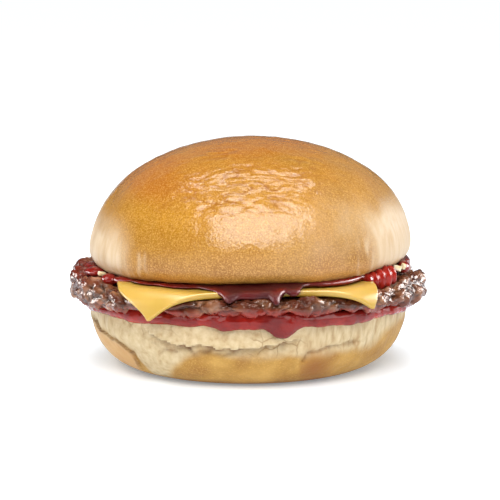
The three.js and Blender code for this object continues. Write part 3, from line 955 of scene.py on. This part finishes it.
# pale flanks, higher and wider at the right, where the pale is partly a painted highlight, with a
# tan patch low down there, and a pale back
right_side = smooth_step(x, -10, 10)
pale_and_sheen = 1 - smooth_step(z - 10 - 3 * right_side, 0, 11)
pale_and_sheen *= smooth_step(np.abs(x), 33 - 3 * right_side, 44)
pale_and_sheen -= 0.25 * bump((x - 36) / 5, 1) * bump((z - 4.5) / 6, 1)
pale_and_sheen += 0.75 * (1 - smooth_step(z, 6, 16)) * smooth_step(y, 10, 40)
pale_and_sheen += 0.37 * bump((x - 29) / 15, 1) * bump((z - 15) / 10, 1)
pale_and_sheen += 0.5 * grain(places, 7, 8.0) * pale_and_sheen
beside_pale = bump((np.abs(x - 1) - 33) / 5, 1) * (1 - smooth_step(z, 7, 14))
pale_and_sheen += beside_pale * np.clip(1.6 * marks, -0.1, 0.45)
keep_values(crown, "pale_and_sheen", np.clip(pale_and_sheen, 0, 1 - 0.13 * right_side))
keep_values(crown, "marks", np.clip(0.5 + marks, 0, 1))
keep_values(crown, "height", np.clip(z / CROWN_HEIGHT, 0, 1))
# the glaze thins towards the rim and on the flanks
glaze = 0.3 + 0.7 * smooth_step(z, 6, 15)
glaze -= 0.7 * smooth_step(np.abs(x), 31, 42) * (1 - smooth_step(z, 14, 26))
keep_values(crown, "glaze", np.clip(glaze + 0.12 * grain(places, 6, 31.0), 0, 1))
keep_values(crown, "wrinkled", wrinkled)
# painted shade: brown in the pinched troughs of the wrinkles
keep_values(crown, "wrinkle_shade", 0.8 * wrinkled * (1 - smooth_step(along_x, 0.0, 0.4)))
# toasted browner at the upper left and on the very top
toast = bump((x + 31) / 13, 1) * smooth_step(z, 20, 29)
toast = np.maximum(toast, 0.8 * smooth_step(z, 33, 38.5)) + 0.25 * grain(places, 9, 33.0)
keep_values(crown, "toast", np.clip(toast, 0, 0.85))

# Glazed bread crust: thin, satin and golden, with light freckles of 0.4 mm, dark specks of
# 0.7 mm and a pebbled skin of 0.9 mm, redder brown at the top and cream on the pale flanks. Real
# stretch marks are about 0.2 mm wide, too fine to show, so they are drawn at 1.3 mm.
crust = new_material("glazed_bread_crust")
spot = add_node(crust, "ShaderNodeTexCoord").outputs["Object"]
pale_and_sheen_value, marks_value, wrinkle_shade_value, toast_value, height_value, glaze_value, wrinkled_value = (
    add_node(crust, "ShaderNodeAttribute", attribute_name=attribute).outputs["Fac"]
    for attribute in ("pale_and_sheen", "marks", "wrinkle_shade", "toast", "height", "glaze", "wrinkled")
)
wide, freckle, pebble, speck = (
    add_node(crust, "ShaderNodeTexNoise", {"Vector": spot, "Scale": lumps(size), "Detail": detail})
    for size, detail in ((13.33, 6), (0.4348, 2), (0.9091, 3), (0.7143, 2))
)
wide_share = add_node(
    crust, "ShaderNodeMapRange", {"Value": wide.outputs["Fac"], 1: 0.38, 2: 0.64, 3: 0.0, 4: 1.0}
)
golden = add_node(
    crust, "ShaderNodeValToRGB", {"Fac": height_value},
    stops=[(0.0, "#bb7f2c"), (1.0, "#a96b28"), (0.05, "#ad7326"), (0.14, "#8c5912"),
           (0.5, "#b17c26"), (0.82, "#ac7324")],
)
freckle_share = add_node(
    crust, "ShaderNodeValToRGB", {"Fac": freckle.outputs["Fac"]},
    stops=[(0.45, "#000000"), (0.8, "#ffffff")],
)
speck_share = add_node(
    crust, "ShaderNodeMapRange", {"Value": speck.outputs["Fac"], 1: 0.36, 2: 0.54, 3: 0.55, 4: 0.0}
)
# over the gold in turn: broad blotches, dark specks, the toasted parts, light freckles and painted
# shade in the troughs of the wrinkles
golden_colour = golden.outputs[0]
for cover, colour in (
    (wide_share.outputs[0], "#a4732c"), (speck_share.outputs[0], "#8c5813"),
    (toast_value, "#a05a18"), (freckle_share.outputs[0], "#d09c50"), (wrinkle_shade_value, "#8a4f18"),
):
    golden_colour = add_node(
        crust, "ShaderNodeMix", {"Factor": cover, 6: golden_colour, 7: linear(colour)}, data_type="RGBA"
    ).outputs[2]
drawn = add_node(crust, "ShaderNodeMapping", {"Vector": spot, "Scale": (1, 1, 0.1)})
fine_marks = add_node(
    crust, "ShaderNodeTexNoise", {"Vector": drawn.outputs[0], "Scale": lumps(1.3333), "Detail": 3}
)
all_marks = add_node(
    crust, "ShaderNodeMix", {"Factor": 0.65, 2: marks_value, 3: fine_marks.outputs["Fac"]}
)
cream = add_node(
    crust, "ShaderNodeValToRGB", {"Fac": all_marks.outputs[0]},
    stops=[(0.3, "#cdad84"), (0.7, "#dac2a2"), (0.5, "#d4b995")],
)
crust_tone = add_node(
    crust, "ShaderNodeMix",
    {"Factor": pale_and_sheen_value, 6: golden_colour, 7: cream.outputs[0]}, data_type="RGBA",
)
# the finest wrinkles, about 1.5 mm apart and drawn out along the top
lengthwise = add_node(crust, "ShaderNodeMapping", {"Vector": spot, "Scale": (0.4, 1, 1.2)})
crinkle = add_node(
    crust, "ShaderNodeTexNoise", {"Vector": lengthwise.outputs[0], "Scale": lumps(1.5385), "Detail": 3}
)
crinkled = add_node(
    crust, "ShaderNodeMath", {0: wrinkled_value, 1: crinkle.outputs["Fac"]}, operation="MULTIPLY"
)
skin_height = add_node(
    crust, "ShaderNodeMath", {0: crinkled.outputs[0], 1: 1.6, 2: pebble.outputs["Fac"]},
    operation="MULTIPLY_ADD",
)
crust_bump = add_node(
    crust, "ShaderNodeBump", {"Height": skin_height.outputs[0], "Strength": 0.34, "Distance": 0.0003}
)
satin = add_node(
    crust, "ShaderNodeMapRange", {"Value": glaze_value, 1: 0.0, 2: 1.0, 3: 0.55, 4: 0.13}
)
crust_skin = add_node(
    crust, "ShaderNodeBsdfPrincipled",
    {"Base Color": crust_tone.outputs[2], "Roughness": satin.outputs[0], "Normal": crust_bump.outputs[0],
     "IOR": 1.52},
)
add_node(crust, "ShaderNodeOutputMaterial", {"Surface": crust_skin.outputs[0]})
use_material(crown, crust)
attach(crown, "root")
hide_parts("crown")


# ---- Studio ----
# A plain white table in a white room. Soft boxes at the front and the back and a wide lamp
# overhead light it. The lamps named gloss give highlights and no other light.

floor_paint = new_material("matt_white_table")
floor_skin = add_node(
    floor_paint, "ShaderNodeBsdfPrincipled",
    {"Base Color": (0.89, 0.935, 0.99, 1), "Roughness": 0.9, "Specular IOR Level": 0.1,
     "Emission Color": (0.78, 0.92, 1, 1), "Emission Strength": 0.26},
)
add_node(floor_paint, "ShaderNodeOutputMaterial", {"Surface": floor_skin.outputs[0]})
bpy.ops.mesh.primitive_plane_add(size=16, location=(0, 0, 0))
floor = bpy.context.object
floor.name = "table"
floor.data.materials.append(floor_paint)
floor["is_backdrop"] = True

world = bpy.data.worlds.new("white_room")
bpy.context.scene.world = world
world.use_nodes = True
world.node_tree.nodes["Background"].inputs["Color"].default_value = (1, 1, 1, 1)
world.node_tree.nodes["Background"].inputs["Strength"].default_value = 0.34
world.cycles_visibility.glossy = False

AIM = Vector((0, 0, 0.045))
# name, direction from the burger in degrees (0 is front, positive to the right), elevation,
# distance in metres, width, height, power in watts, and the only pieces it lights, if not all
SOFT_BOXES = [
    ("front_box", 1, 47, 0.60, 0.66, 0.60, 3.0, []),
    ("front_gloss_box", 1, 47, 0.57, 0.62, 0.56, 7.2, [crown, cheese]),
    ("back_gloss_box", 180, 22, 1.00, 1.60, 0.60, 0.6, []),
    ("back_box", 180, 75, 0.70, 0.62, 0.12, 1.6, []),
    ("back_left_box", -128, 22, 0.60, 0.40, 0.26, 0.5, []),
    ("back_right_box", 121, 6, 0.60, 0.42, 0.16, 0.75, []),
    ("left_gloss_card", -98, 9, 0.50, 0.28, 0.20, 3.4, [patty, cheese, upper_sauce]),
    ("right_gloss_card", 104, 18, 0.50, 0.30, 0.24, 4.6, [patty, cheese, upper_sauce]),
    ("left_sauce_gloss", -64, 34, 0.50, 0.40, 0.36, 2.8, [upper_sauce]),
    ("right_sauce_gloss", 80, 34, 0.50, 0.44, 0.40, 8.0, [upper_sauce]),
    ("left_edge_gloss", -60, 25, 0.50, 0.50, 0.40, 2.2, [lower_sauce]),
    ("right_edge_gloss", 62, 25, 0.50, 0.46, 0.40, 2.4, [lower_sauce]),
    ("front_spark_gloss", 8, 46, 0.50, 0.10, 0.10, 1.2, [patty]),
    ("cheese_gloss", 8, 82, 0.50, 0.50, 0.34, 6.0, [cheese]),
]
for name, azimuth, elevation, distance, width, height, power, lit_pieces in SOFT_BOXES:
    light = bpy.data.lights.new(name, "AREA")
    light.shape = "RECTANGLE"
    light.size = width
    light.size_y = height
    light.energy = power
    box = bpy.data.objects.new(name, light)
    bpy.context.scene.collection.objects.link(box)
    a, e = math.radians(azimuth), math.radians(elevation)
    towards = Vector((math.sin(a) * math.cos(e), -math.cos(a) * math.cos(e), math.sin(e)))
    box.location = AIM + towards * distance
    box.rotation_euler = towards.to_track_quat("Z", "Y").to_euler()
    # these two give no highlights
    box.visible_glossy = name not in ("front_box", "back_left_box")
    box.visible_diffuse = "gloss" not in name
    box.visible_camera = False
    if lit_pieces:
        box.light_linking.receiver_collection = bpy.data.collections.new(name + "_pieces")
        for piece in lit_pieces:
            box.light_linking.receiver_collection.objects.link(piece)

sun = bpy.data.lights.new("overhead_diffuser", "SUN")
sun.energy = 2.0
sun.angle = math.radians(80)
diffuser = bpy.data.objects.new("overhead_diffuser", sun)
bpy.context.scene.collection.objects.link(diffuser)
diffuser.rotation_euler = (math.radians(25), 0, math.radians(-15))
diffuser.visible_glossy = False

CAMERA_DISTANCE = 0.70
CAMERA_ELEVATION = math.radians(9)
LOOK_AT = Vector(((STACK_X + 0.3) * MM, STACK_Y * MM, 35.6 * MM))
camera_data = bpy.data.cameras.new("camera")
camera_data.sensor_width = 36
camera_data.lens = 159.3
camera_data.clip_start = 0.01
camera = bpy.data.objects.new("camera", camera_data)
bpy.context.scene.collection.objects.link(camera)
backwards = Vector((0, -math.cos(CAMERA_ELEVATION), math.sin(CAMERA_ELEVATION)))
camera.location = LOOK_AT + backwards * CAMERA_DISTANCE
camera.rotation_euler = backwards.to_track_quat("Z", "Y").to_euler()
bpy.context.scene.camera = camera
bpy.context.scene.view_settings.view_transform = "Standard"

sizes = {"cad": [list(map(float, corner)) for corner in cad_box],
         "visual": [list(map(float, corner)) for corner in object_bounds()]}
